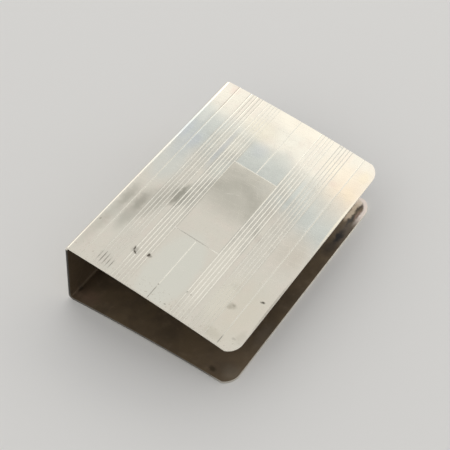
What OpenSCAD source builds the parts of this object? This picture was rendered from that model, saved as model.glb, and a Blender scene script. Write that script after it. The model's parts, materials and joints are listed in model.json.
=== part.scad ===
// Spring-clip matchbox holder, folded from one thin metal sheet.
// X runs from the spine to the open mouth, Y along the spine and Z up. Z = 0 is the surface it lies on.
// The sheet is five strips in a row: back cover, lower fold, spine, upper fold, front cover.
// Both covers are bowed, so each is an arc about an axis along Y, as the folds are.

/* [Sheet] */
// Thickness of the sheet
sheet_t = 0.5; // [0.4:0.05:0.7]
// Length of the holder along the spine
holder_len = 54; // [46:1:62]
// Outside radius of both folds
bend_r = 1; // [0.9:0.1:1.6]

/* [Spine] */
// Height of the spine over both folds, measured along the spine
spine_h = 16.8; // [14:0.2:20]
// Lean of the spine over the back cover, in degrees
spine_lean = 4.6; // [0:0.2:6]

/* [Covers] */
// Width of the back cover from the lower fold to its open edge
back_w = 37; // [32:0.5:42]
// Rise of the back cover's middle
back_bow = 0.65; // [0.3:0.05:1]
// Width of the front cover from the upper fold to its open edge
front_w = 36.9; // [32:0.1:42]
// Rise of the front cover's middle
front_bow = 0.55; // [0.3:0.05:1]
// Slope of the front cover down to its open edge, in degrees
front_tilt = 8.5; // [4:0.5:10]
// Radius of the rounded corners at the open edges
corner_r = 3.6; // [2:0.1:5]
// How far the end edge cuts in on that rounding
corner_short = 0.4; // [0:0.1:1]

/* [Engraving] */
// Width of an engraved line at the surface
line_w = 0.2; // [0.1:0.02:0.26]
// Depth of an engraved line
line_d = 0.06; // [0.04:0.01:0.1]
// Distance between neighbouring lines of a group
line_pitch = 0.735; // [0.5:0.005:0.9]
// Lines in each of the four groups
group_lines = 5; // [2:1:6]
// Half the width of the plain band between the inner groups
band_half = 5.1; // [3:0.05:6]
// Distance from the middle line to the single line near each edge
margin_line = 15.35; // [14:0.05:16]
// Length of the plain panel along the middle line
panel_len = 20.5; // [12:0.5:26]
// Offset of the plain panel from the middle of the length
panel_shift = -0.65; // [-2:0.05:2]
// Offset of the whole design towards the open edge
design_shift = 0.1; // [-1:0.05:1]

/* [Hidden] */
$fn = 96;
silver = [0.83, 0.81, 0.77];
tarnished = [0.66, 0.62, 0.56];
over = 1;            // how far a cutter runs past what it cuts
spare_arc = 1;       // degrees of sheet beyond an open edge, which the outline trims
fine_fn = 720;       // for the shallow arcs of the covers

// Radius of an arc over a chord, from the rise of its middle
function arc_r(chord, rise) = chord * chord / (8 * rise) + rise / 2;
// Point at an angle on a circle in the XZ plane
function on_circle(centre, r, a) = centre + r * [cos(a), sin(a)];

// Back cover: its underside is an arc about an axis below it
back_r = arc_r(back_w, back_bow);
back_half = asin(back_w / 2 / back_r);
// Front cover: its top is an arc about an axis below it
front_r = arc_r(front_w, front_bow);
front_half = asin(front_w / 2 / front_r);
front_start = 90 - front_tilt + front_half;
front_len = front_r * 2 * front_half * PI / 180;

// Outward normal of the spine, as an angle
spine_out = 180 - spine_lean;
spine_flat = spine_h - 2 * bend_r;

// Bend axes and arc axes before the holder is centred on X
low_axis = [bend_r, bend_r];
top_axis = low_axis + spine_flat * [sin(spine_lean), cos(spine_lean)];
back_from = on_circle(low_axis, bend_r, 270 + back_half);
front_from = on_circle(top_axis, bend_r, front_start);
back_axis = on_circle(back_from, back_r, 270 + back_half);
front_axis = on_circle(front_from, -front_r, front_start);
back_edge_x = back_from[0] + back_w;
front_edge_x = front_from[0] + front_w * cos(front_tilt);
mid_x = max(back_edge_x, front_edge_x) / 2;

// Engraved design: without its offset, its middle line halves the width seen from above,
// upper fold included
fold_len = bend_r * (spine_out - front_start) * PI / 180;
design_mid = (front_len - fold_len) / 2 + design_shift;
group_step = (group_lines + 1) * line_pitch;

// Part of a ring about an axis along Y through c, from radius r0 to r1 and angle a0 to a1
module ring_strip(c, r0, r1, a0, a1, fn = $fn) {
    translate([c[0] - mid_x, holder_len / 2, c[1]])
        rotate([90, 0, 0])
            rotate([0, 0, a0])
                rotate_extrude(angle = a1 - a0, $fn = fn)
                    translate([r0, 0])
                        square([r1 - r0, holder_len]);
}

// Cover outline on its chord, as a tall prism with both corners of the open edge rounded
module cover_outline(from, slope, width) {
    reach = front_bow + back_bow + sheet_t + over;
    translate([from[0] - mid_x, 0, from[1]])
        rotate([0, slope, 0])
            translate([0, 0, -reach])
                linear_extrude(2 * reach)
                    difference() {
                        translate([-over, -holder_len / 2])
                            square([width + over, holder_len]);
                        corner_cut(width);
                        mirror([0, 1]) corner_cut(width);
                    }
}

// What one corner loses outside its rounding arc
module corner_cut(width) {
    middle = [width - corner_r, holder_len / 2 - corner_r + corner_short];
    difference() {
        translate(middle) square(corner_r + over);
        translate(middle) circle(corner_r);
    }
}

// Angle about the front cover's axis at a distance s along its top from the upper fold
function front_angle(s) = front_start - s / front_r * 180 / PI;

// Section of an engraved line: a V whose sides run on past the cover's top
module line_section() {
    wide = line_w * (1 + over / line_d);
    polygon([
        [front_r - line_d, 0],
        [front_r + over, wide / 2],
        [front_r + over, -wide / 2]
    ]);
}

// Straight engraved line along Y, at a distance s from the upper fold
module long_line(s, y0, y1) {
    translate([front_axis[0] - mid_x, y1, front_axis[1]])
        rotate([90, 0, 0])
            rotate([0, 0, front_angle(s)])
                linear_extrude(y1 - y0)
                    line_section();
}

// Engraved line across the plain band at y, which follows the bow
module cross_line(y) {
    a0 = front_angle(design_mid + band_half);
    a1 = front_angle(design_mid - band_half);
    translate([front_axis[0] - mid_x, y, front_axis[1]])
        rotate([90, 0, 0])
            rotate([0, 0, a0])
                rotate_extrude(angle = a1 - a0, $fn = fine_fn)
                    line_section();
}

module engraving() {
    end = holder_len / 2 + over;
    for (side = [-1, 1]) {
        for (group = [0, 1], i = [0 : group_lines - 1])
            long_line(design_mid + side * (band_half + group * group_step + i * line_pitch), -end, end);
        long_line(design_mid + side * margin_line, -end, end);
        cross_line(panel_shift + side * panel_len / 2);
    }
    long_line(design_mid, -end, panel_shift - panel_len / 2);
    long_line(design_mid, panel_shift + panel_len / 2, end);
}

module back_cover() {
    color(tarnished)
        intersection() {
            ring_strip(back_axis, back_r, back_r + sheet_t,
                90 - back_half - spare_arc, 90 + back_half, fine_fn);
            cover_outline(back_from, 0, back_w);
        }
}

module lower_fold() {
    color(silver)
        ring_strip(low_axis, bend_r - sheet_t, bend_r, spine_out, 270 + back_half);
}

module spine() {
    from = on_circle(low_axis, bend_r, spine_out);
    color(silver)
        translate([from[0] - mid_x, -holder_len / 2, from[1]])
            rotate([0, spine_lean, 0])
                cube([sheet_t, holder_len, spine_flat]);
}

module upper_fold() {
    color(silver)
        ring_strip(top_axis, bend_r - sheet_t, bend_r, front_start, spine_out);
}

module front_cover() {
    color(silver)
        difference() {
            intersection() {
                ring_strip(front_axis, front_r - sheet_t, front_r,
                    front_start - 2 * front_half - spare_arc, front_start, fine_fn);
                cover_outline(front_from, front_tilt, front_w);
            }
            engraving();
        }
}

back_cover();
lower_fold();
spine();
upper_fold();
front_cover();
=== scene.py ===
import bmesh
import bpy
import json
import math
from mathutils import Euler, Matrix, Quaternion, Vector


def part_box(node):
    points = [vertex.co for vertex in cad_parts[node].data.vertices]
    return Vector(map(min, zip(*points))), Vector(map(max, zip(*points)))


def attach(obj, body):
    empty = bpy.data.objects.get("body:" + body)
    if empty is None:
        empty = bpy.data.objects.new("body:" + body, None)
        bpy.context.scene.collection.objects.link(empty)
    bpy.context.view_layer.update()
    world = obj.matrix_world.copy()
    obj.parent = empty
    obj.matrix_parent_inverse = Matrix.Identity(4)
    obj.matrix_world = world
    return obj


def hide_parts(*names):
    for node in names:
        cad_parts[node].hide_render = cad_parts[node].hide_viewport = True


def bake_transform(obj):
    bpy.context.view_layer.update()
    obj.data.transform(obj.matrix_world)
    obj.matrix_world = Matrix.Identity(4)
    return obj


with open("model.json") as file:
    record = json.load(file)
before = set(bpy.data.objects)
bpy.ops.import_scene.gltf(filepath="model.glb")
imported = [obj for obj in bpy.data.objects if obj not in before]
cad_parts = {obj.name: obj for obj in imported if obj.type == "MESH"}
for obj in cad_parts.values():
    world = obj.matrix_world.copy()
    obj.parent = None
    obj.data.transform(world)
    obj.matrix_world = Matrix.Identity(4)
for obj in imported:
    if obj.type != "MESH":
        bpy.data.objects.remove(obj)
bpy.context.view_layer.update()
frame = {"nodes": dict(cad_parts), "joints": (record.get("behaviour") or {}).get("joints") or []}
print("frame loaded:", ", ".join(sorted(frame["nodes"])))

mm = 0.001
degree = math.pi / 180
tiny = 1e-6   # points closer than this are in the same place
onCut = 1e-7  # points closer than this to a cutting plane are on it

# the one sheet that the holder is folded from, at the sizes of the CAD model
sheet = {
    "thickness": 0.5 * mm,
    "bendRadius": 1.0 * mm,      # outside of both folds
    "foldSteps": 32,
    "cornerRadius": 3.6 * mm,    # at the open edges
    "cornerShort": 0.4 * mm,     # how far the end edge cuts in on that rounding
    "cornerSteps": 18,
    "spare": 1 * degree,         # of arc past the open edge, before it is cut off
    "rim": 0.13 * mm,            # worn roundness of every cut edge
    "rimSteps": 3,
}
# what tells the faces and edges of the sheet apart
limits = {
    "cutEdge": 50 * degree,      # an edge that turns further gets rounded
    "smoothEdge": 32 * degree,   # an edge that turns less is shaded smooth
    "cutFace": 38 * degree,      # a face turned further from the sheet's own direction is a cut edge
    "grooveFace": 15 * degree,   # and on top of the front cover, the side of an engraved line
    "depth": sheet["rim"] / 4,   # a face lies no further than this under the surface it belongs to
}

hinges = {joint["name"]: Vector(joint["pos_m"]) for joint in frame["joints"]}
lowAxis = hinges["lower_fold_flex"]
topAxis = hinges["upper_fold_flex"]
spineUp = (topAxis - lowAxis).normalized()
spineOut = 180 * degree - math.atan2(spineUp.x, spineUp.z)  # the spine's outward normal, as an angle
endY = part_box("spine")[1].y  # the sheet ends here and at -endY
innerRadius = sheet["bendRadius"] - sheet["thickness"]
middleRadius = sheet["bendRadius"] - sheet["thickness"] / 2


def arcOver(chord, rise):
    # radius and half angle of a shallow arc
    radius = chord * chord / (8 * rise) + rise / 2
    return radius, math.asin(chord / 2 / radius)


def outAt(angle):
    # angles go from +X up to +Z
    return Vector((math.cos(angle), 0, math.sin(angle)))


def tangentAt(angle):
    return Vector((-math.sin(angle), 0, math.cos(angle)))


def onCircle(axis, radius, angle):
    return axis + radius * outAt(angle)


def fromAxis(axis, point):
    # the shortest way from an axis along Y to a point
    return Vector((point.x - axis.x, 0, point.z - axis.z))


# modelling helpers, all in edit mode on the active piece
def makeActive(piece):
    bpy.ops.object.select_all(action="DESELECT")
    piece.select_set(True)
    bpy.context.view_layer.objects.active = piece


def startEdit(piece):
    makeActive(piece)
    bpy.ops.object.mode_set(mode="EDIT")


def endEdit():
    bpy.ops.object.mode_set(mode="OBJECT")


def pickAll():
    bpy.ops.mesh.select_mode(type="VERT")
    bpy.ops.mesh.select_all(action="SELECT")


def pick(piece, kind, wanted):
    # selects the faces, edges or verts for which wanted() is true, and counts them
    bpy.ops.mesh.select_all(action="DESELECT")
    bpy.ops.mesh.select_mode(type={"faces": "FACE", "edges": "EDGE", "verts": "VERT"}[kind])
    mesh = bmesh.from_edit_mesh(piece.data)
    found = 0
    for element in getattr(mesh, kind):
        if wanted(element):
            element.select_set(True)
            found += 1
    mesh.select_flush_mode()
    bmesh.update_edit_mesh(piece.data)
    return found


def slicePicked(point, normal, cutOff=False):
    bpy.ops.mesh.bisect(
        plane_co=point, plane_no=normal, threshold=onCut, clear_outer=cutOff, use_fill=cutOff
    )


def cutAway(point, normal):
    # the whole piece loses what lies beyond a plane
    pickAll()
    slicePicked(point, normal, cutOff=True)


def turnOutward():
    pickAll()
    bpy.ops.mesh.normals_make_consistent(inside=False)


def newSection(name, centre, angle):
    # the sheet's cross-section from end to end, set square to the strip
    bpy.ops.object.select_all(action="DESELECT")
    bpy.ops.mesh.primitive_plane_add(size=1, location=centre, rotation=(0, -angle, 0))
    piece = bpy.context.object
    piece.name = piece.data.name = name
    piece.scale = (sheet["thickness"], 2 * endY, 1)
    bpy.ops.object.transform_apply()
    return piece


def spinStrip(name, axis, radius, fromAngle, toAngle, steps):
    # a strip bent about an axis, with the middle of its thickness at radius
    piece = newSection(name, onCircle(axis, radius, fromAngle), fromAngle)
    startEdit(piece)
    pickAll()
    turn = 1 if toAngle > fromAngle else -1  # the spin operator turns against the right-hand rule
    bpy.ops.mesh.spin(steps=steps, angle=abs(toAngle - fromAngle), center=axis, axis=(0, turn, 0))
    pickAll()
    bpy.ops.mesh.remove_doubles(threshold=tiny)
    turnOutward()
    endEdit()
    return piece


def roundOpenEdge(piece, edgePoint, along):
    # cuts the strip off square at its open edge, then rounds both corners with a fan of cuts
    startEdit(piece)
    cutAway(edgePoint, along)
    radius = sheet["cornerRadius"]
    half = 45 * degree / sheet["cornerSteps"]
    for side in (-1, 1):
        across = Vector((0, side, 0))
        middle = edgePoint - along * radius + across * (endY - radius + sheet["cornerShort"])
        for step in range(sheet["cornerSteps"]):
            angle = half * (2 * step + 1)
            out = along * math.cos(angle) + across * math.sin(angle)
            cutAway(middle + out * radius * math.cos(half), out)
    endEdit()


def easeRims(piece, seams):
    # rounds every cut edge, but not the seams where a neighbouring strip goes on
    def onSeam(edge):
        return any(all(abs((v.co - point).dot(way)) < tiny for v in edge.verts) for point, way in seams)

    startEdit(piece)
    pick(piece, "edges", lambda e: e.calc_face_angle(0) > limits["cutEdge"] and not onSeam(e))
    bpy.ops.mesh.bevel(offset=sheet["rim"], segments=sheet["rimSteps"], affect="EDGES", clamp_overlap=True)
    turnOutward()
    endEdit()


def onRim(face, outward):
    # true for the faces of a cut edge, whose normals turn away from the sheet's own
    return abs(face.normal.dot(outward)) < math.cos(limits["cutFace"])


def finishPiece(piece, body, node, materials, surfaceOf):
    # surfaceOf(face) gives the number of the face's material
    for material in materials:
        piece.data.materials.append(material)
    for face in piece.data.polygons:
        face.material_index = surfaceOf(face)
    makeActive(piece)
    bpy.ops.object.shade_smooth_by_angle(angle=limits["smoothEdge"])
    weighting = piece.modifiers.new("flatNormals", "WEIGHTED_NORMAL")  # so rims don't bend the light on flats
    weighting.keep_sharp = True
    bpy.ops.object.modifier_apply(modifier=weighting.name)
    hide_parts(node)
    if isinstance(body, str):
        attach(piece, body)
    else:
        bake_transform(piece)
    print("made", piece.name, "with", len(piece.data.polygons), "faces")


# material helpers
def addNode(material, kind, inputs=None, **settings):
    # inputs are socket values, or another node's outputs to link
    tree = material.node_tree
    made = tree.nodes.new("ShaderNode" + kind)
    for name, value in settings.items():
        setattr(made, name, value)
    for name, value in (inputs or {}).items():
        if isinstance(value, bpy.types.NodeSocket):
            tree.links.new(value, made.inputs[name])
        else:
            made.inputs[name].default_value = value
    return made


def newMaterial(name):
    material = bpy.data.materials.new(name)
    material.use_nodes = True
    material.node_tree.nodes.clear()
    return material


def finishMaterial(material, inputs):
    shader = addNode(material, "BsdfPrincipled", inputs)
    addNode(material, "OutputMaterial", {"Surface": shader.outputs[0]})
    return material


def noiseAt(material, place, scale, detail=2.0, roughness=0.5):
    inputs = {"Vector": place, "Scale": scale, "Detail": detail, "Roughness": roughness}
    return addNode(material, "TexNoise", inputs).outputs["Fac"]


def maths(material, operation, first, second):
    return addNode(material, "Math", {0: first, 1: second}, operation=operation).outputs[0]


def minus(material, first, second):
    return maths(material, "SUBTRACT", first, second)


def product(material, first, *others):
    result = first
    for other in others:
        result = maths(material, "MULTIPLY", result, other)
    return result


def vectorMaths(material, operation, inputs):
    return addNode(material, "VectorMath", inputs, operation=operation).outputs


def ease(material, value, low, high, toLow=0.0, toHigh=1.0):
    # a soft step from toLow to toHigh as value goes from low to high
    inputs = {"Value": value, "From Min": low, "From Max": high, "To Min": toLow, "To Max": toHigh}
    return addNode(material, "MapRange", inputs, interpolation_type="SMOOTHSTEP").outputs["Result"]


def bumpFrom(material, height, distance, under=None):
    inputs = {"Height": height, "Distance": distance}
    if under:
        inputs["Normal"] = under
    return addNode(material, "Bump", inputs).outputs[0]


def mixColour(material, factor, first, second):
    return addNode(material, "Mix", {0: factor, 6: first, 7: second}, data_type="RGBA").outputs[2]


def readPlace(material):
    # position in the shared frame, in millimetres
    coordinates = addNode(material, "TexCoord").outputs["Object"]
    return vectorMaths(material, "SCALE", {"Vector": coordinates, "Scale": 1 / mm})[0]


def splitPlace(material, place):
    return addNode(material, "SeparateXYZ", {0: place}).outputs


def shakePlace(material, place, reach, scale):
    # the same position, pushed about by up to half of reach, so that edges turn ragged
    noise = addNode(material, "TexNoise", {"Vector": place, "Scale": scale, "Detail": 3.0}).outputs["Color"]
    centred = vectorMaths(material, "SUBTRACT", {0: noise, 1: (0.5, 0.5, 0.5)})[0]
    shift = vectorMaths(material, "SCALE", {"Vector": centred, "Scale": reach})[0]
    return vectorMaths(material, "ADD", {0: place, 1: shift})[0]


def mark(at, size, strength, colour=None, core=0.2, turn=0, reach=3.0):
    # an oval tint: its middle and half lengths in millimetres, how much it tints, the share of it that is
    # fully tinted, its turn in degrees and how far it reaches through the sheet
    return {"at": at, "size": (*size, reach), "strength": strength, "colour": colour, "core": core,
            "turn": (0, 0, turn * degree)}


def addMarks(material, place, colour, marks, stain):
    # marks without a colour of their own take the stain's
    for spot in marks:
        mapping = addNode(
            material, "Mapping",
            {"Vector": place, "Location": spot["at"], "Rotation": spot["turn"], "Scale": spot["size"]},
            vector_type="TEXTURE",
        ).outputs[0]
        distance = vectorMaths(material, "LENGTH", {0: mapping})["Value"]
        tint = ease(material, distance, spot["core"], 1.0, spot["strength"], 0.0)
        colour = mixColour(material, tint, colour, spot["colour"] or stain)
    return colour


# what the outside of the silver looks like, in millimetres; a noise is its scale, detail and roughness,
# a step is the two values between which something sets in, sometimes with what it goes from and to,
# and a shake is how far and how finely a position is pushed about
silverLook = {
    "clean": (0.88, 0.835, 0.725, 1),
    "cool": (0.705, 0.725, 0.67, 1),
    "pink": (0.885, 0.82, 0.715, 1),
    "green": (0.855, 0.84, 0.74, 1),
    "mottle": (0.77, 0.725, 0.62, 1),
    "aged": (0.66, 0.60, 0.48, 1),
    "fleck": (0.56, 0.49, 0.40, 1),
    "dull": (0.675, 0.645, 0.555, 1),
    "tarnishAndShade": (0.66, 0.635, 0.56, 1),
    "stain": (0.27, 0.265, 0.215, 1),
    "speck": (0.09, 0.075, 0.055, 1),
    "cloudNoise": (0.11, 3.0),
    "blotchNoise": (0.35, 4.0, 0.6),
    "mottleNoise": (1.3, 4.0, 0.65),
    "fleckNoise": (1.7, 3.0, 0.7),
    "pinkStep": (0.42, 0.66),
    "greenStep": (0.48, 0.70, 0.0, 0.5),
    "mottleStep": (0.50, 0.72, 0.0, 0.28),
    "agedStep": (0.46, 0.70, 0.0, 0.45),
    "fleckStep": (0.57, 0.68, 0.0, 0.45),
    "fleckEnd": (-21.5, -26.5),      # Y towards the near end
    "topHeight": (7.0, 10.0),        # Z over which the film, the strips and the panel set in
    "topEdge": (-1.2, -0.2),         # and the distance from the upper fold
    "agedHeight": (14.5, 12.5),      # and the same for the aged silver below the front cover
    "agedEdge": (3.0, 0.0),
    "panelSoftness": 0.1,
    "patchShake": (1.1, 0.9),
    "markShake": (0.3, 2.2),
    "roughness": 0.10,
    "roughnessSpread": 0.06,
    "roughnessStep": (0.3, 0.75),
    "scratchTurns": (35 * degree, -62 * degree, 8 * degree),
    "scratchSize": (7.0, 0.10, 1),   # length, width and depth
    "scratchStep": (0.74, 0.80),
    "scratchGain": 0.05,             # how much sooner each further direction sets in
    "scratchRoughness": 0.08,
    "waveNoise": (0.13, 1.0),
    "wave": 0.035 * mm,              # height of the sheet's slight waviness
    "grainNoise": (9.0, 3.0),
    "grain": 0.0008 * mm,
}
# a cool tint lies across the length, slanted towards the open edge: partly tarnish film, partly painted
# reflection
filmAndReflectionLook = {
    "slant": 0.18,
    "cloudiness": 5.0,
    "start": (3.5, 11.0),            # Y of its edges in the middle of the cover
    "end": (21.5, 16.0),
}
# strips beside the engraved lines: partly tarnish that polishing doesn't reach, partly painted shade from the
# lines' shaded walls
stripLook = {
    "besideLine": (0.06, 0.16),      # millimetres from a line
    "betweenLines": (0.42, 0.24, 0.35, 1.0),
    "firstLine": (-0.55, -0.30),     # these count the lines from the middle of the cover outwards
    "lastLine": (10.55, 10.30),
    "missingLine": 5,                # of the two groups' even spacing
    "besideGap": (0.45, 0.70),
    "outerGroup": (4.5, 5.5, 1.0, 0.6),
    "nearEnd": (-14.0, -6.0, 0.30, 1.0),    # Y, and how strong the strips are there
    "farEnd": (19.0, 12.0, 0.05, 1.0),
    "noise": (0.5, 3.0),
    "noiseStep": (0.25, 0.6, 0.45, 1.0),
}


def addScratches(material, place, turn, share):
    # fine scratches that all run one way; share is how much sooner than usual they set in
    stretched = addNode(
        material, "Mapping", {"Vector": place, "Rotation": (0, 0, turn), "Scale": silverLook["scratchSize"]},
        vector_type="TEXTURE",
    ).outputs[0]
    low, high = silverLook["scratchStep"]
    return ease(material, noiseAt(material, stretched, 1.0, 1.0), low - share, high - share)


def alongNode(material, x, z, design):
    # how far a point of the front cover is from the middle line, along its top
    upward = minus(material, z, design["axis"].z)
    outward = minus(material, x, design["axis"].x)
    angle = maths(material, "ARCTAN2", upward, outward)
    arc = product(material, minus(material, design["start"], angle), design["radius"])
    return minus(material, arc, design["middle"])


def besideLines(material, along, design):
    # 1 on the strips beside the engraved lines of the groups, 0 on the lines and away from them
    look = stripLook
    aside = maths(material, "ABSOLUTE", along, 0)
    count = maths(material, "DIVIDE", minus(material, aside, design["bandHalf"]), design["pitch"])
    away = product(material, maths(material, "PINGPONG", count, 0.5), design["pitch"])
    gap = maths(material, "ABSOLUTE", minus(material, count, look["missingLine"]), 0)
    return product(
        material,
        ease(material, away, *look["besideLine"]),
        ease(material, away, *look["betweenLines"]),
        ease(material, count, *look["firstLine"]),
        ease(material, count, *look["lastLine"]),
        ease(material, gap, *look["besideGap"]),
        ease(material, count, *look["outerGroup"]),
    )


def makeOuterSilver(name, panel, design, patches, panelPatches, marks):
    look = silverLook
    material = newMaterial(name)
    place = readPlace(material)
    x, y, z = splitPlace(material, place)
    cloud = noiseAt(material, place, *look["cloudNoise"])
    blotch = noiseAt(material, place, *look["blotchNoise"])
    mottle = noiseAt(material, place, *look["mottleNoise"])
    fleck = noiseAt(material, place, *look["fleckNoise"])
    along = alongNode(material, x, z, design)
    foldAlong = -design["middle"]

    # the cool film and its painted reflection, the strips and the panel belong to the front cover and fade
    # out round the upper fold
    onTop = product(
        material, ease(material, z, *look["topHeight"]),
        ease(material, along, *(foldAlong + edge for edge in look["topEdge"])),
    )
    inPanel = onTop
    soft = look["panelSoftness"]
    for value, (low, high) in ((x, panel[0]), (y, panel[1])):
        inPanel = product(
            material, inPanel, ease(material, value, low - soft, low + soft),
            ease(material, value, high + soft, high - soft),
        )

    colour = mixColour(material, ease(material, blotch, *look["pinkStep"]), look["clean"], look["pink"])
    colour = mixColour(material, ease(material, cloud, *look["greenStep"]), colour, look["green"])
    colour = mixColour(material, ease(material, mottle, *look["mottleStep"]), colour, look["mottle"])
    aged = product(
        material, ease(material, blotch, *look["agedStep"]), ease(material, z, *look["agedHeight"]),
        ease(material, along, *(foldAlong + edge for edge in look["agedEdge"])),
    )
    colour = mixColour(material, aged, colour, look["aged"])

    # the cool band: partly tarnish film, partly painted reflection
    slanted = maths(material, "ADD", y, product(material, x, filmAndReflectionLook["slant"]))
    banded = maths(material, "ADD", slanted, product(material, cloud, filmAndReflectionLook["cloudiness"]))
    filmAndReflection = product(
        material, ease(material, banded, *filmAndReflectionLook["start"]), ease(material, banded, *filmAndReflectionLook["end"]),
        minus(material, onTop, inPanel),
    )
    colour = mixColour(material, filmAndReflection, colour, look["cool"])

    # strips beside the lines darkened: partly tarnish, partly painted shade
    strips = product(
        material, besideLines(material, along, design), onTop,
        ease(material, y, *stripLook["nearEnd"]), ease(material, y, *stripLook["farEnd"]),
        ease(material, noiseAt(material, place, *stripLook["noise"]), *stripLook["noiseStep"]),
    )
    colour = mixColour(material, strips, colour, look["tarnishAndShade"])

    ragged = shakePlace(material, place, *look["patchShake"])
    colour = addMarks(material, ragged, colour, patches, look["stain"])
    # the panel is duller, with faint stains and an arc of painted dark reflection
    panelColour = addMarks(material, ragged, colour, panelPatches, look["stain"])
    colour = mixColour(material, inPanel, colour, panelColour)
    colour = addMarks(material, shakePlace(material, place, *look["markShake"]), colour, marks, look["speck"])
    # brown flecks where the near end has been handled
    flecks = product(
        material, ease(material, fleck, *look["fleckStep"]), ease(material, y, *look["fleckEnd"])
    )
    colour = mixColour(material, flecks, colour, look["fleck"])

    scratched = None
    for number, turn in enumerate(look["scratchTurns"]):
        layer = addScratches(material, place, turn, look["scratchGain"] * number)
        scratched = layer if scratched is None else maths(material, "MAXIMUM", scratched, layer)
    smooth = look["roughness"]
    roughness = maths(
        material, "ADD",
        ease(material, blotch, *look["roughnessStep"], smooth, smooth + look["roughnessSpread"]),
        product(material, scratched, look["scratchRoughness"]),
    )
    waves = bumpFrom(material, noiseAt(material, place, *look["waveNoise"]), look["wave"])
    rough = maths(material, "ADD", noiseAt(material, place, *look["grainNoise"]), scratched)
    grain = bumpFrom(material, rough, look["grain"], waves)
    return finishMaterial(
        material, {"Base Color": colour, "Metallic": 1.0, "Roughness": roughness, "Normal": grain}
    )


# what the engraved lines look like: their pale cream on a half-matt finish is a painted highlight, standing
# in for the glint of the lines' walls
grooveLook = {
    "inner": (0.99, 0.955, 0.85, 1),
    "outer": (0.85, 0.82, 0.73, 1),
    "margin": (0.86, 0.825, 0.73, 1),
    "outerStep": (4.7, 5.3),         # counted in lines from the middle of the cover outwards
    "marginStep": (-1.0, -0.5),      # millimetres from the single line near the edge
    "nearEnd": (-20.0, -25.0, 0.0, 0.5),    # Y, and how dull the lines are there
    "brokenNoise": (1.6, 3.0),
    "brokenStep": (0.55, 0.75, 0.0, 0.4),
    "dirtAndLightShake": (0.8, 1.8),
    "metallic": 0.35,
    "roughness": 0.5,
}


def makeGrooveSilver(name, design, dirtAndPaintedLight, marks):
    look = grooveLook
    material = newMaterial(name)
    place = readPlace(material)
    x, y, z = splitPlace(material, place)
    aside = maths(material, "ABSOLUTE", alongNode(material, x, z, design), 0)
    outer = (design["bandHalf"] + count * design["pitch"] for count in look["outerStep"])
    margin = (design["marginLine"] + offset for offset in look["marginStep"])
    # the pale cream of the lines is painted highlight
    colour = mixColour(material, ease(material, aside, *outer), look["inner"], look["outer"])
    colour = mixColour(material, ease(material, aside, *margin), colour, look["margin"])
    colour = mixColour(material, ease(material, y, *look["nearEnd"]), colour, silverLook["dull"])
    broken = noiseAt(material, place, *look["brokenNoise"])
    colour = mixColour(material, ease(material, broken, *look["brokenStep"]), colour, silverLook["dull"])
    for shake, marked in ((look["dirtAndLightShake"], dirtAndPaintedLight), (silverLook["markShake"], marks)):
        colour = addMarks(material, shakePlace(material, place, *shake), colour, marked, silverLook["speck"])
    return finishMaterial(
        material, {"Base Color": colour, "Metallic": look["metallic"], "Roughness": look["roughness"]}
    )


# what the inside looks like, where the silver has gone brown
tarnishLook = {
    "brown": (0.174, 0.126, 0.074, 1),
    "deep": (0.124, 0.091, 0.057, 1),
    "amber": (0.26, 0.19, 0.125, 1),
    "paleBand": (0.97, 0.85, 0.77, 1),
    "cloudNoise": (0.16, 4.0, 0.6),
    "blotchNoise": (0.7, 4.0, 0.65),
    "deepStep": (0.35, 0.7),
    "amberStep": (0.5, 0.8, 0.0, 0.45),
    "markShake": (1.2, 1.1),
    "metallic": 0.35,
    "roughness": 0.38,
    "roughnessSpread": 0.2,
    "roughnessStep": (0.3, 0.8),
    "bumpNoise": (3.0, 4.0),
    "bump": 0.006 * mm,
}
# the back cover's inside turns pale along its edge round its far corner
paleEdgeLook = {
    "middle": (15.1, 23.8),          # X and Y, of the corner's rounding
    "width": 0.85,
    "softness": 0.25,
    "start": (18.6, 23.1),           # Y over which it sets in along the open edge
    "height": (4.0, 3.0),            # Z above which nothing is rubbed
    "shake": (0.5, 1.5),
}


def makeTarnish(name, marks):
    look = tarnishLook
    material = newMaterial(name)
    place = readPlace(material)
    cloud = noiseAt(material, place, *look["cloudNoise"])
    blotch = noiseAt(material, place, *look["blotchNoise"])
    colour = mixColour(material, ease(material, cloud, *look["deepStep"]), look["brown"], look["deep"])
    colour = mixColour(material, ease(material, blotch, *look["amberStep"]), colour, look["amber"])
    colour = addMarks(material, shakePlace(material, place, *look["markShake"]), colour, marks, look["deep"])

    paleEdge = paleEdgeLook
    x, y, z = splitPlace(material, shakePlace(material, place, *paleEdge["shake"]))
    middleX, middleY = paleEdge["middle"]
    beyond = addNode(material, "CombineXYZ", {
        "X": maths(material, "MAXIMUM", minus(material, x, middleX), 0),
        "Y": maths(material, "MAXIMUM", minus(material, y, middleY), 0),
    }).outputs[0]
    outwards = vectorMaths(material, "LENGTH", {0: beyond})["Value"]
    begin = sheet["cornerRadius"] / mm - paleEdge["width"]
    paleBand = product(
        material, ease(material, outwards, begin - paleEdge["softness"], begin + paleEdge["softness"]),
        ease(material, y, *paleEdge["start"]), ease(material, z, *paleEdge["height"]),
    )
    colour = mixColour(material, paleBand, colour, look["paleBand"])

    smooth = look["roughness"]
    roughness = ease(material, blotch, *look["roughnessStep"], smooth, smooth + look["roughnessSpread"])
    bump = bumpFrom(material, noiseAt(material, place, *look["bumpNoise"]), look["bump"])
    return finishMaterial(
        material, {"Base Color": colour, "Metallic": look["metallic"], "Roughness": roughness, "Normal": bump}
    )


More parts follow.
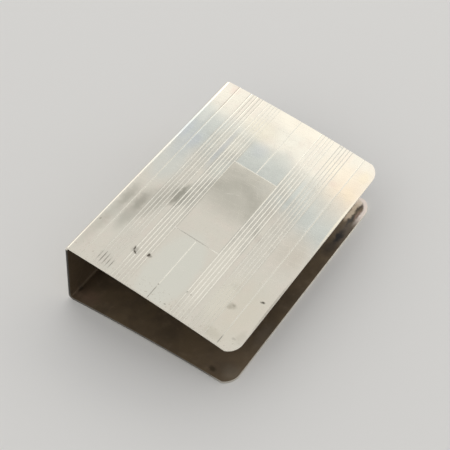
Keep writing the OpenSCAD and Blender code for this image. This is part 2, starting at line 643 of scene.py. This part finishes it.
# cut edges: round the front cover a painted highlight, a pale half-matt colour standing in for the glint of
# the rounded edges; dull elsewhere but for the back cover's open edge, where the same painted highlight sets
# in towards the far end
rimLook = {
    "bright": (0.97, 0.92, 0.81, 1),
    "dull": (0.15, 0.14, 0.12, 1),
    "spineEnd": (0.04, 0.037, 0.030, 1),
    "spineHeight": (0.8, 2.0),       # Z over which the back cover's ends turn into the spine's
    "openEdge": (13.0, 17.6),        # X over which the dull ends turn bright
    "farEnd": (-28.0, 20.0, 0.5, 1.0),    # Y, and how bright the open edge is there
    "noise": (0.9, 3.0),
    "brightStep": (0.3, 0.6, 0.9, 1.0),
    "dullStep": (0.3, 0.6, 0.8, 1.0),
    "metallic": 0.45,
    "roughness": 0.42,
}


def makeRim(name, allBright):
    look = rimLook
    material = newMaterial(name)
    place = readPlace(material)
    x, y, z = splitPlace(material, place)
    patchy = noiseAt(material, place, *look["noise"])
    # the bright colour is a painted highlight
    if allBright:
        bright = ease(material, patchy, *look["brightStep"])
    else:
        bright = product(
            material, ease(material, x, *look["openEdge"]), ease(material, y, *look["farEnd"]),
            ease(material, patchy, *look["dullStep"]),
        )
    dull = mixColour(material, ease(material, z, *look["spineHeight"]), look["dull"], look["spineEnd"])
    colour = mixColour(material, bright, dull, look["bright"])
    return finishMaterial(
        material, {"Base Color": colour, "Metallic": look["metallic"], "Roughness": look["roughness"]}
    )


# front cover: bowed, sloping down to its open edge, and engraved
frontSettings = {
    "width": 36.9 * mm,
    "bow": 0.55 * mm,
    "tilt": 8.5 * degree,
    "steps": 30,
}
engraving = {
    "width": 0.2 * mm,
    "depth": 0.06 * mm,
    "pitch": 0.735 * mm,
    "groupLines": 5,
    "bandHalf": 5.1 * mm,        # half of the plain band along the middle
    "marginLine": 15.35 * mm,    # from the middle line to the single line near each edge
    "panelLength": 20.5 * mm,
    "panelShift": -0.65 * mm,
    "designShift": 0.1 * mm,     # of all the lines, towards the open edge
}
frontRadius, frontHalf = arcOver(frontSettings["width"], frontSettings["bow"])
frontStart = 90 * degree - frontSettings["tilt"] + frontHalf
frontFrom = onCircle(topAxis, sheet["bendRadius"], frontStart)
frontAxis = onCircle(frontFrom, -frontRadius, frontStart)
frontChord = Vector((math.cos(frontSettings["tilt"]), 0, -math.sin(frontSettings["tilt"])))
foldLength = sheet["bendRadius"] * (spineOut - frontStart)
# the middle line's distance from the upper fold, along the top
designMiddle = (2 * frontHalf * frontRadius - foldLength) / 2 + engraving["designShift"]
panelEnds = [engraving["panelShift"] + side * engraving["panelLength"] / 2 for side in (-1, 1)]


def angleAt(along):
    # of a place on the front cover, from its distance along the top from the middle line
    return frontStart - (designMiddle + along) / frontRadius


def alongOf(point):
    # and the other way round
    angle = math.atan2(point.z - frontAxis.z, point.x - frontAxis.x)
    return (frontStart - angle) * frontRadius - designMiddle


def frontMark(along, y, *shape, **more):
    # a mark on the front cover's top, placed by its distance from the middle line and its Y
    place = onCircle(frontAxis, frontRadius, angleAt(along * mm)) / mm + Vector((0, y, 0))
    return mark(place, *shape, **more)


# tints, tarnish and wear on the front cover, placed from the photograph
frontPatches = [
    # greener middle near the end, lighter group beside it
    frontMark(0.1, -19.5, (5.4, 11.5), 0.75, (0.875, 0.865, 0.765, 1), core=0.7),
    frontMark(6.6, -14.5, (2.0, 14.0), 0.60, (0.95, 0.905, 0.785, 1), core=0.5),
    frontMark(11.0, -8.0, (2.2, 8.0), 0.35, (0.95, 0.905, 0.785, 1), core=0.5),
    frontMark(-6.4, -8.2, (2.0, 3.6), 0.40, (0.94, 0.89, 0.77, 1)),
    # cool, bluish tints near the spine and over the left hand groups: partly tarnish film, partly painted
    # reflection
    frontMark(-15.4, 1.8, (4.6, 7.5), 0.72, (0.815, 0.83, 0.765, 1), core=0.4, reach=1.5),
    frontMark(-15.8, 8.6, (4.2, 8.0), 0.60, (0.70, 0.74, 0.73, 1), reach=1.5),
    frontMark(-8.5, 13.5, (4.6, 7.0), 0.45, (0.88, 0.83, 0.70, 1)),
    frontMark(-6.4, 6.0, (2.2, 4.0), 0.40, (0.86, 0.87, 0.77, 1)),
    frontMark(2.4, 16.0, (3.6, 4.0), 0.50, silverLook["cool"]),
    frontMark(-8.9, 11.0, (0.9, 8.0), 0.50, (0.64, 0.65, 0.66, 1)),
    frontMark(-14.6, 9.2, (1.8, 3.2), 0.32, (0.60, 0.64, 0.70, 1)),
    frontMark(-17.6, 11.0, (1.4, 5.0), 0.32, (0.66, 0.70, 0.78, 1), reach=1.5),
    frontMark(-2.6, 15.0, (2.6, 3.0), 0.26, (0.68, 0.72, 0.77, 1)),
    frontMark(-16.6, 15.8, (1.7, 2.8), 0.45, (0.82, 0.82, 0.76, 1)),
    # warm film at the far open corner, gold and pink in places, with a cool patch below it
    frontMark(16.8, 16.5, (7.5, 10.5), 0.80, (0.88, 0.75, 0.59, 1)),
    frontMark(17.6, 23.0, (1.7, 2.8), 0.32, (0.93, 0.80, 0.56, 1)),
    frontMark(17.2, 17.0, (2.2, 2.8), 0.32, (0.89, 0.755, 0.54, 1), turn=30),
    frontMark(12.2, 25.0, (1.8, 2.4), 0.35, (0.95, 0.80, 0.665, 1)),
    frontMark(13.3, 17.4, (1.4, 1.2), 0.30, (0.85, 0.69, 0.59, 1)),
    frontMark(16.0, 11.8, (5.0, 6.0), 0.42, (0.62, 0.64, 0.60, 1)),
    # warm light along the far end
    frontMark(12.6, 21.2, (5.8, 4.2), 0.60, (0.96, 0.865, 0.70, 1)),
    frontMark(-5.2, 20.0, (5.3, 4.2), 0.48, (0.83, 0.77, 0.62, 1), core=0.3),
    frontMark(2.0, 25.6, (15.0, 3.6), 0.60, (0.95, 0.885, 0.75, 1), core=0.3),
    frontMark(-15.6, 25.6, (1.5, 1.8), 0.5, (0.86, 0.70, 0.61, 1)),
    # brownish patches over the right hand groups
    frontMark(8.8, 3.2, (4.2, 4.4), 0.45, (0.76, 0.70, 0.60, 1)),
    frontMark(15.6, -2.0, (5.2, 8.6), 0.85, (0.79, 0.735, 0.63, 1), core=0.0),
    frontMark(17.2, -2.6, (1.8, 3.8), 0.32, (0.70, 0.64, 0.54, 1)),
    frontMark(7.9, -2.4, (0.6, 1.6), 0.30, turn=10),
    frontMark(8.9, -3.3, (1.0, 1.5), 0.16, (0.42, 0.35, 0.30, 1)),
    # yellower silver towards the near corner
    frontMark(15.2, -18.5, (6.5, 12.5), 0.50, (0.865, 0.80, 0.655, 1)),
    frontMark(10.9, -18.6, (2.6, 8.0), 0.50, (0.96, 0.91, 0.765, 1), core=0.3),
    frontMark(13.5, -25.6, (3.2, 1.6), 0.22, (0.48, 0.44, 0.31, 1)),
    frontMark(18.2, -23.0, (1.2, 2.4), 0.18, (0.48, 0.43, 0.33, 1)),
    frontMark(11.6, -14.8, (1.6, 1.1), 0.10),
    # the olive stain, darkest between the lines, that runs slantwise from the spine to the panel
    frontMark(-11.8, -6.0, (3.0, 9.5), 0.20, turn=-40),
    frontMark(-16.6, -10.0, (1.7, 5.2), 0.36, core=0.1),
    frontMark(-13.8, -9.8, (1.6, 3.8), 0.36, core=0.2),
    frontMark(-13.9, -13.4, (2.0, 6.4), 0.36),
    frontMark(-16.6, -15.0, (1.6, 7.0), 0.20),
    frontMark(-17.4, -20.0, (1.8, 8.0), 0.14),
    frontMark(-11.4, -9.8, (1.7, 6.2), 0.27, turn=-12),
    frontMark(-8.9, -4.2, (0.85, 4.4), 0.62, core=0.35, turn=-5),
    frontMark(-8.2, -5.8, (0.9, 2.4), 0.30, core=0.3),
    frontMark(-6.6, -3.2, (2.0, 4.4), 0.17, turn=-20),
    frontMark(-9.9, -4.2, (0.5, 2.0), 0.34),
    frontMark(-7.6, -4.0, (0.5, 3.0), 0.30),
    frontMark(-5.6, 0.8, (1.8, 3.6), 0.20, turn=-30),
]
panelPatches = [
    frontMark(0.0, 4.6, (17, 11), 1.0, silverLook["dull"], core=0.3),
    # an arc of three faint dark marks across the panel: painted dark reflection
    frontMark(-3.4, 3.2, (3.8, 2.4), 0.13, turn=30),
    frontMark(0.0, 5.2, (4.6, 2.2), 0.13, turn=-4),
    frontMark(3.4, 3.2, (3.4, 2.0), 0.14, turn=-48),
    frontMark(3.2, 7.6, (2.6, 3.0), 0.35, (0.76, 0.735, 0.65, 1)),
    frontMark(4.4, 0.2, (1.6, 3.6), 0.12),
]
frontMarks = [
    # the crescent and the specks, mostly near the end
    frontMark(-8.20, -19.5, (0.28, 0.78), 0.80, core=0.3, turn=14),
    frontMark(-7.65, -20.2, (0.70, 0.28), 0.88, core=0.3, turn=-30),
    frontMark(-7.80, -19.8, (1.20, 1.10), 0.26),
    frontMark(-5.20, -19.2, (0.34, 0.62), 0.95, core=0.4, turn=-8),
    frontMark(-4.95, -19.3, (0.70, 0.42), 0.55, turn=10),
    frontMark(17.40, -14.4, (0.50, 0.38), 0.94, turn=8),
    frontMark(17.05, -14.6, (0.44, 0.24), 0.45, turn=-20),
    frontMark(13.30, -18.6, (1.15, 0.95), 0.30, (0.25, 0.22, 0.15, 1), core=0.3),
    frontMark(12.90, -19.3, (0.75, 0.65), 0.25, (0.25, 0.22, 0.15, 1)),
    frontMark(13.50, -18.4, (0.50, 0.36), 0.20),
    frontMark(3.40, -26.1, (0.30, 0.20), 0.55, turn=20),
    frontMark(6.00, -21.5, (0.24, 0.22), 0.42),
    frontMark(17.3, -24.1, (0.60, 0.44), 0.20),
    frontMark(-17.5, -17.8, (0.30, 0.50), 0.30),
    frontMark(0.0, -23.3, (0.22, 0.26), 0.55),
    # two fine scratches across the panel
    frontMark(-1.3, 2.2, (1.2, 0.10), 0.55, (0.95, 0.91, 0.80, 1), turn=33),
    frontMark(0.1, 2.9, (0.6, 0.09), 0.45, (0.95, 0.91, 0.80, 1), turn=28),
    # the open edge: a painted highlight halfway along, darker towards the near end
    frontMark(19.05, 9.5, (0.45, 10.5), 0.80, (1.0, 0.93, 0.77, 1), core=0.4),
    frontMark(19.08, -14.0, (0.34, 9.0), 0.50, (0.40, 0.36, 0.30, 1), core=0.3),
    # a dull spot at the far end
    frontMark(9.9, 26.6, (0.55, 0.30), 0.40, (0.35, 0.40, 0.42, 1)),
]
# where the engraved lines hold dark dirt, mostly at the near end, and where they are painted paler or dimmer
# to match the light on the cover
grooveDirtAndPaintedLight = [
    # the margin line at the far end: painted highlight
    frontMark(15.35, 23.0, (0.8, 8.0), 0.9, grooveLook["inner"], core=0.6),
    frontMark(-15.35, 23.6, (0.8, 5.6), 0.60, (0.60, 0.51, 0.42, 1), core=0.6),
    frontMark(-15.35, 11.0, (0.8, 9.0), 0.50, (0.76, 0.745, 0.67, 1), core=0.5),
    frontMark(-10.8, 23.6, (2.6, 5.6), 0.32, (0.72, 0.68, 0.55, 1), core=0.5),
    frontMark(-10.2, -19.0, (2.6, 5.0), 0.55, (0.72, 0.68, 0.60, 1), core=0.4),
    # the right hand groups near the near end dimmed to the surface's tone: painted shade
    frontMark(11.0, -19.0, (3.4, 11.0), 0.42, (0.74, 0.71, 0.60, 1), core=0.4),
    frontMark(-11.6, -24.6, (1.6, 2.0), 0.60),
    frontMark(-9.9, -25.0, (1.1, 1.6), 0.50),
    frontMark(0.0, -25.4, (0.6, 2.2), 0.42, core=0.5),
    frontMark(15.35, -25.6, (0.6, 1.2), 0.45, core=0.4),
    frontMark(5.1, -21.4, (0.4, 0.5), 0.45),
    frontMark(-0.9, -10.9, (5.2, 0.4), 0.42, core=0.45),
]
panelSides = [
    [onCircle(frontAxis, frontRadius, angleAt(side * engraving["bandHalf"])).x / mm for side in (-1, 1)],
    [end / mm for end in panelEnds],
]
# the same design in millimetres, for the node trees
design = {
    "axis": frontAxis / mm,
    "radius": frontRadius / mm,
    "start": frontStart,
    "middle": designMiddle / mm,
    "bandHalf": engraving["bandHalf"] / mm,
    "pitch": engraving["pitch"] / mm,
    "marginLine": engraving["marginLine"] / mm,
}
frontSilver = makeOuterSilver("frontSilver", panelSides, design, frontPatches, panelPatches, frontMarks)
grooveSilver = makeGrooveSilver("grooveSilver", design, grooveDirtAndPaintedLight, frontMarks)

# stains and rubbed places on the inside, at the mouth and beside the spine
insideMarks = [
    # paler near corner, with a dark spot
    mark((15.9, -22.0, 0.8), (9.0, 9.0), 0.30, (0.22, 0.165, 0.115, 1)),
    mark((17.2, -24.4, 0.5), (2.6, 2.6), 0.45, (0.26, 0.22, 0.165, 1)),
    mark((13.8, -25.5, 0.8), (0.9, 0.8), 0.75, (0.045, 0.032, 0.018, 1), core=0.3, turn=20),
    # redder near the lower fold; painted shade up the inside of the spine
    mark((-16.0, -25.0, 1.2), (4.0, 2.6), 0.45, (0.27, 0.17, 0.12, 1)),
    mark((-18.0, 0.0, 9.0), (3.0, 60.0), 0.75, (0.085, 0.058, 0.034, 1), core=0.5, reach=14.0),
    # uneven along the open edge
    mark((17.6, 17.0, 0.5), (1.8, 6.5), 0.50, (0.15, 0.128, 0.110, 1)),
    mark((17.2, 11.8, 0.6), (2.0, 3.4), 0.60, (0.045, 0.038, 0.033, 1)),
    mark((17.6, -14.0, 0.5), (1.8, 4.5), 0.35, (0.20, 0.165, 0.13, 1)),
    # painted light and painted shadow at the far corner: pale where light falls past the front cover's edge,
    # dark in its shadow, reddish between
    mark((16.0, 26.2, 0.7), (1.4, 2.2), 0.95, (0.84, 0.72, 0.59, 1), core=0.4),
    mark((16.1, 22.6, 0.7), (0.80, 3.8), 0.92, (0.72, 0.59, 0.44, 1), core=0.4),
    mark((17.6, 22.4, 0.6), (0.5, 2.2), 0.55, (0.42, 0.27, 0.22, 1)),
    mark((16.9, 24.6, 0.6), (0.45, 2.3), 0.80, (0.07, 0.055, 0.045, 1)),
    mark((17.0, 20.4, 0.6), (0.6, 2.8), 0.75, (0.05, 0.045, 0.042, 1)),
    mark((17.2, 15.2, 0.6), (1.0, 3.0), 0.90, (0.020, 0.019, 0.020, 1)),
    # two dark spots at the near end of the lower fold
    mark((-17.9, -25.6, 0.6), (1.0, 1.3), 0.45, (0.26, 0.19, 0.13, 1)),
    mark((-18.6, -24.2, 0.7), (0.7, 0.85), 0.75, (0.06, 0.046, 0.03, 1)),
    mark((-18.8, -26.4, 1.7), (0.5, 0.45), 0.65, (0.06, 0.046, 0.03, 1), reach=0.8),
]
insideTarnish = makeTarnish("insideTarnish", insideMarks)
brightRim = makeRim("brightRim", True)
dullRim = makeRim("dullRim", False)
print("materials made")


def longLines():
    # distances of the long engraved lines from the middle one
    groups = [
        engraving["bandHalf"] + (group * (engraving["groupLines"] + 1) + line) * engraving["pitch"]
        for group in (0, 1) for line in range(engraving["groupLines"])
    ]
    offsets = groups + [engraving["marginLine"]]
    return sorted([-x for x in offsets] + [0] + offsets)


def engraveFront(piece):
    # three cuts mark out each line, and its middle is pushed in
    width = engraving["width"]
    cuts = (-width / 2, 0, width / 2)
    near = width / 8         # how far a line's own points may be from its middle
    clear = width / 4        # how far the middle line's points stay out of the panel
    band = engraving["bandHalf"]
    lines = longLines()

    def onTop(point):
        return fromAxis(frontAxis, point).length > frontRadius - limits["depth"]

    startEdit(piece)
    for line in lines:
        for cut in cuts:
            pickAll()
            slicePicked(frontAxis, tangentAt(angleAt(line + cut)))
    for end in panelEnds:
        for cut in cuts:
            pick(piece, "faces", lambda f: abs(alongOf(f.calc_center_median())) < band
                 and onTop(f.calc_center_median()))
            slicePicked(Vector((0, end + cut, 0)), Vector((0, 1, 0)))
    for line in lines:
        pick(piece, "verts", lambda v: onTop(v.co) and abs(alongOf(v.co) - line) < near
             and (line != 0 or not panelEnds[0] - clear < v.co.y < panelEnds[1] + clear))
        bpy.ops.transform.translate(value=-outAt(angleAt(line)) * engraving["depth"])
    for end in panelEnds:
        found = pick(piece, "verts", lambda v: onTop(v.co) and abs(v.co.y - end) < near
                     and abs(alongOf(v.co)) < band - clear)
        print("cross line at", round(end / mm, 2), "has", found, "points")
        bpy.ops.transform.translate(value=-outAt(angleAt(0)) * engraving["depth"])
    endEdit()


def makeFrontCover():
    piece = spinStrip(
        "frontCover", frontAxis, frontRadius - sheet["thickness"] / 2,
        frontStart, frontStart - 2 * frontHalf - sheet["spare"], frontSettings["steps"],
    )
    roundOpenEdge(piece, frontFrom + frontChord * frontSettings["width"], frontChord)
    easeRims(piece, [(frontAxis, tangentAt(frontStart))])
    engraveFront(piece)
    lines = longLines()
    half = engraving["width"] / 2

    def surfaceOf(face):
        # 0 outside, 1 inside, 2 in an engraved line, 3 on a cut edge
        outward = fromAxis(frontAxis, face.center)
        radius = outward.length
        if onRim(face, outward / radius):
            return 3
        if radius < frontRadius - sheet["thickness"] + limits["depth"]:
            return 1
        if radius < frontRadius - engraving["depth"]:
            return 0
        if face.normal.dot(outward / radius) > math.cos(limits["grooveFace"]):
            return 0
        along = alongOf(face.center)
        if min(abs(along - line) for line in lines) < half:
            return 2
        inCross = min(abs(face.center.y - end) for end in panelEnds) < half
        return 2 if inCross and abs(along) < engraving["bandHalf"] else 0

    materials = [frontSilver, insideTarnish, grooveSilver, brightRim]
    finishPiece(piece, "front_cover", "front_cover", materials, surfaceOf)


def makeFold(name, node, axis, toAngle, bodies, rim):
    # both folds start at the spine
    piece = spinStrip(name, axis, middleRadius, spineOut, toAngle, sheet["foldSteps"])
    easeRims(piece, [(axis, tangentAt(spineOut)), (axis, tangentAt(toAngle))])

    def surfaceOf(face):
        # 0 outside, 1 inside, 2 on a cut edge
        outward = fromAxis(axis, face.center)
        if onRim(face, outward.normalized()):
            return 2
        return int(outward.length < innerRadius + limits["depth"])

    ends = [onCircle(axis, innerRadius, spineOut), onCircle(axis, innerRadius, toAngle)]
    finishPiece(piece, (*bodies, *ends), node, [frontSilver, insideTarnish, rim], surfaceOf)


# spine: flat between the folds
def makeSpine():
    piece = newSection("spineStrip", onCircle(lowAxis, middleRadius, spineOut), spineOut)
    startEdit(piece)
    pickAll()
    bpy.ops.mesh.extrude_region_move(TRANSFORM_OT_translate={"value": topAxis - lowAxis})
    turnOutward()
    endEdit()
    easeRims(piece, [(lowAxis, spineUp), (topAxis, spineUp)])
    outward = outAt(spineOut)

    def surfaceOf(face):
        # 0 outside, 1 inside, 2 on a cut edge
        if onRim(face, outward):
            return 2
        return int((face.center - lowAxis).dot(outward) < innerRadius + limits["depth"])

    finishPiece(piece, "spine", "spine", [frontSilver, insideTarnish, dullRim], surfaceOf)


# back cover: bowed up off the table
backSettings = {
    "width": 37.0 * mm,
    "bow": 0.65 * mm,
    "steps": 30,
}
backRadius, backHalf = arcOver(backSettings["width"], backSettings["bow"])
backStart = 90 * degree + backHalf
backFoldEnd = 270 * degree + backHalf
backFrom = onCircle(lowAxis, sheet["bendRadius"], backFoldEnd)
backAxis = onCircle(backFrom, backRadius, backFoldEnd)


def makeBackCover():
    piece = spinStrip(
        "backCover", backAxis, backRadius + sheet["thickness"] / 2,
        backStart, backStart - 2 * backHalf - sheet["spare"], backSettings["steps"],
    )
    roundOpenEdge(piece, backFrom + Vector((backSettings["width"], 0, 0)), Vector((1, 0, 0)))
    easeRims(piece, [(backAxis, tangentAt(backStart))])

    def surfaceOf(face):
        # 0 underneath, 1 inside, 2 on a cut edge
        outward = fromAxis(backAxis, face.center)
        if onRim(face, outward.normalized()):
            return 2
        return int(outward.length > backRadius + sheet["thickness"] - limits["depth"])

    materials = [frontSilver, insideTarnish, dullRim]
    finishPiece(piece, "back_cover", "back_cover", materials, surfaceOf)


makeFrontCover()
makeFold("upperFold", "upper_fold", topAxis, frontStart, ("spine", "front_cover"), brightRim)
makeSpine()
makeFold("lowerFold", "lower_fold", lowAxis, backFoldEnd, ("spine", "back_cover"), dullRim)
makeBackCover()

# studio
studio = {
    "floorSize": 3.0,
    "floorColour": (0.80, 0.79, 0.77, 1),
    "floorRoughness": 0.9,
    "worldColour": (0.90, 0.90, 0.90, 1),
    "worldStrength": 0.8,
    "lampDistance": 0.6,
}
bpy.ops.object.select_all(action="DESELECT")
bpy.ops.mesh.primitive_plane_add(size=studio["floorSize"], location=(0, 0, -tiny))
floor = bpy.context.object
floor.name = "floor"
floor.data.materials.append(finishMaterial(
    newMaterial("floorPaper"), {"Base Color": studio["floorColour"], "Roughness": studio["floorRoughness"]}
))

world = bpy.data.worlds.new("studio")
world.use_nodes = True
background = world.node_tree.nodes["Background"]
background.inputs["Color"].default_value = studio["worldColour"]
background.inputs["Strength"].default_value = studio["worldStrength"]
bpy.context.scene.world = world

lamps = {
    # where each softbox stands as azimuth and elevation, its roll, width, height, power and colour
    "farSoftbox": {"azimuth": 190, "elevation": 38.5, "roll": -13, "size": (0.46, 0.30), "power": 0.17,
                   "colour": (1.0, 0.98, 0.94)},
    "rightSoftbox": {"azimuth": 139, "elevation": 32, "roll": -34, "size": (0.10, 0.56), "power": 0.20,
                     "colour": (1.0, 0.98, 0.92)},
    "leftSoftbox": {"azimuth": 220, "elevation": 35, "roll": 0, "size": (0.14, 0.14), "power": 0.062,
                    "colour": (1.0, 0.98, 0.94)},
    "foldSoftbox": {"azimuth": 237, "elevation": 18.5, "roll": 0, "size": (0.26, 0.30), "power": 0.135,
                    "colour": (1.0, 0.99, 0.96)},
    "frontSoftbox": {"azimuth": 347, "elevation": 50, "roll": 0, "size": (0.14, 0.14), "power": 0.06,
                     "colour": (1.0, 0.98, 0.94)},
}
for name, lamp in lamps.items():
    azimuth, elevation = lamp["azimuth"] * degree, lamp["elevation"] * degree
    way = Vector((math.sin(azimuth) * math.cos(elevation), -math.cos(azimuth) * math.cos(elevation),
                  math.sin(elevation)))
    bpy.ops.object.light_add(type="AREA", location=way * studio["lampDistance"])
    light = bpy.context.object
    light.name = name
    turned = way.to_track_quat("Z", "Y") @ Quaternion((0, 0, 1), lamp["roll"] * degree)
    light.rotation_euler = turned.to_euler()
    light.data.shape = "RECTANGLE"
    light.data.size, light.data.size_y = lamp["size"]
    light.data.energy = lamp["power"]
    light.data.color = lamp["colour"]
print("studio lit")

# camera, solved from the photograph's edges together with the holder's cross-section
camera = {
    "aim": Vector((-0.364, -0.12, 8.0)) * mm,
    "azimuth": 34.07 * degree,
    "elevation": 49.70 * degree,
    "roll": -0.44 * degree,
    "distance": 236.0 * mm,
    "focalPixels": 1192.0,       # in the photograph's frame
    "framePixels": 450.0,
    "sensor": 36.0,
}
cameraTurn = (
    Euler((90 * degree - camera["elevation"], 0, camera["azimuth"])).to_matrix()
    @ Matrix.Rotation(camera["roll"], 3, "Z")
)
bpy.ops.object.camera_add(location=camera["aim"] + cameraTurn @ Vector((0, 0, camera["distance"])))
photoCamera = bpy.context.object
photoCamera.name = "photoCamera"
photoCamera.rotation_euler = cameraTurn.to_euler()
photoCamera.data.sensor_width = camera["sensor"]
photoCamera.data.lens = camera["sensor"] * camera["focalPixels"] / camera["framePixels"]
photoCamera.data.clip_start = 1 * mm
bpy.context.scene.camera = photoCamera
bpy.context.scene.view_settings.view_transform = "Standard"

print("scene ready")
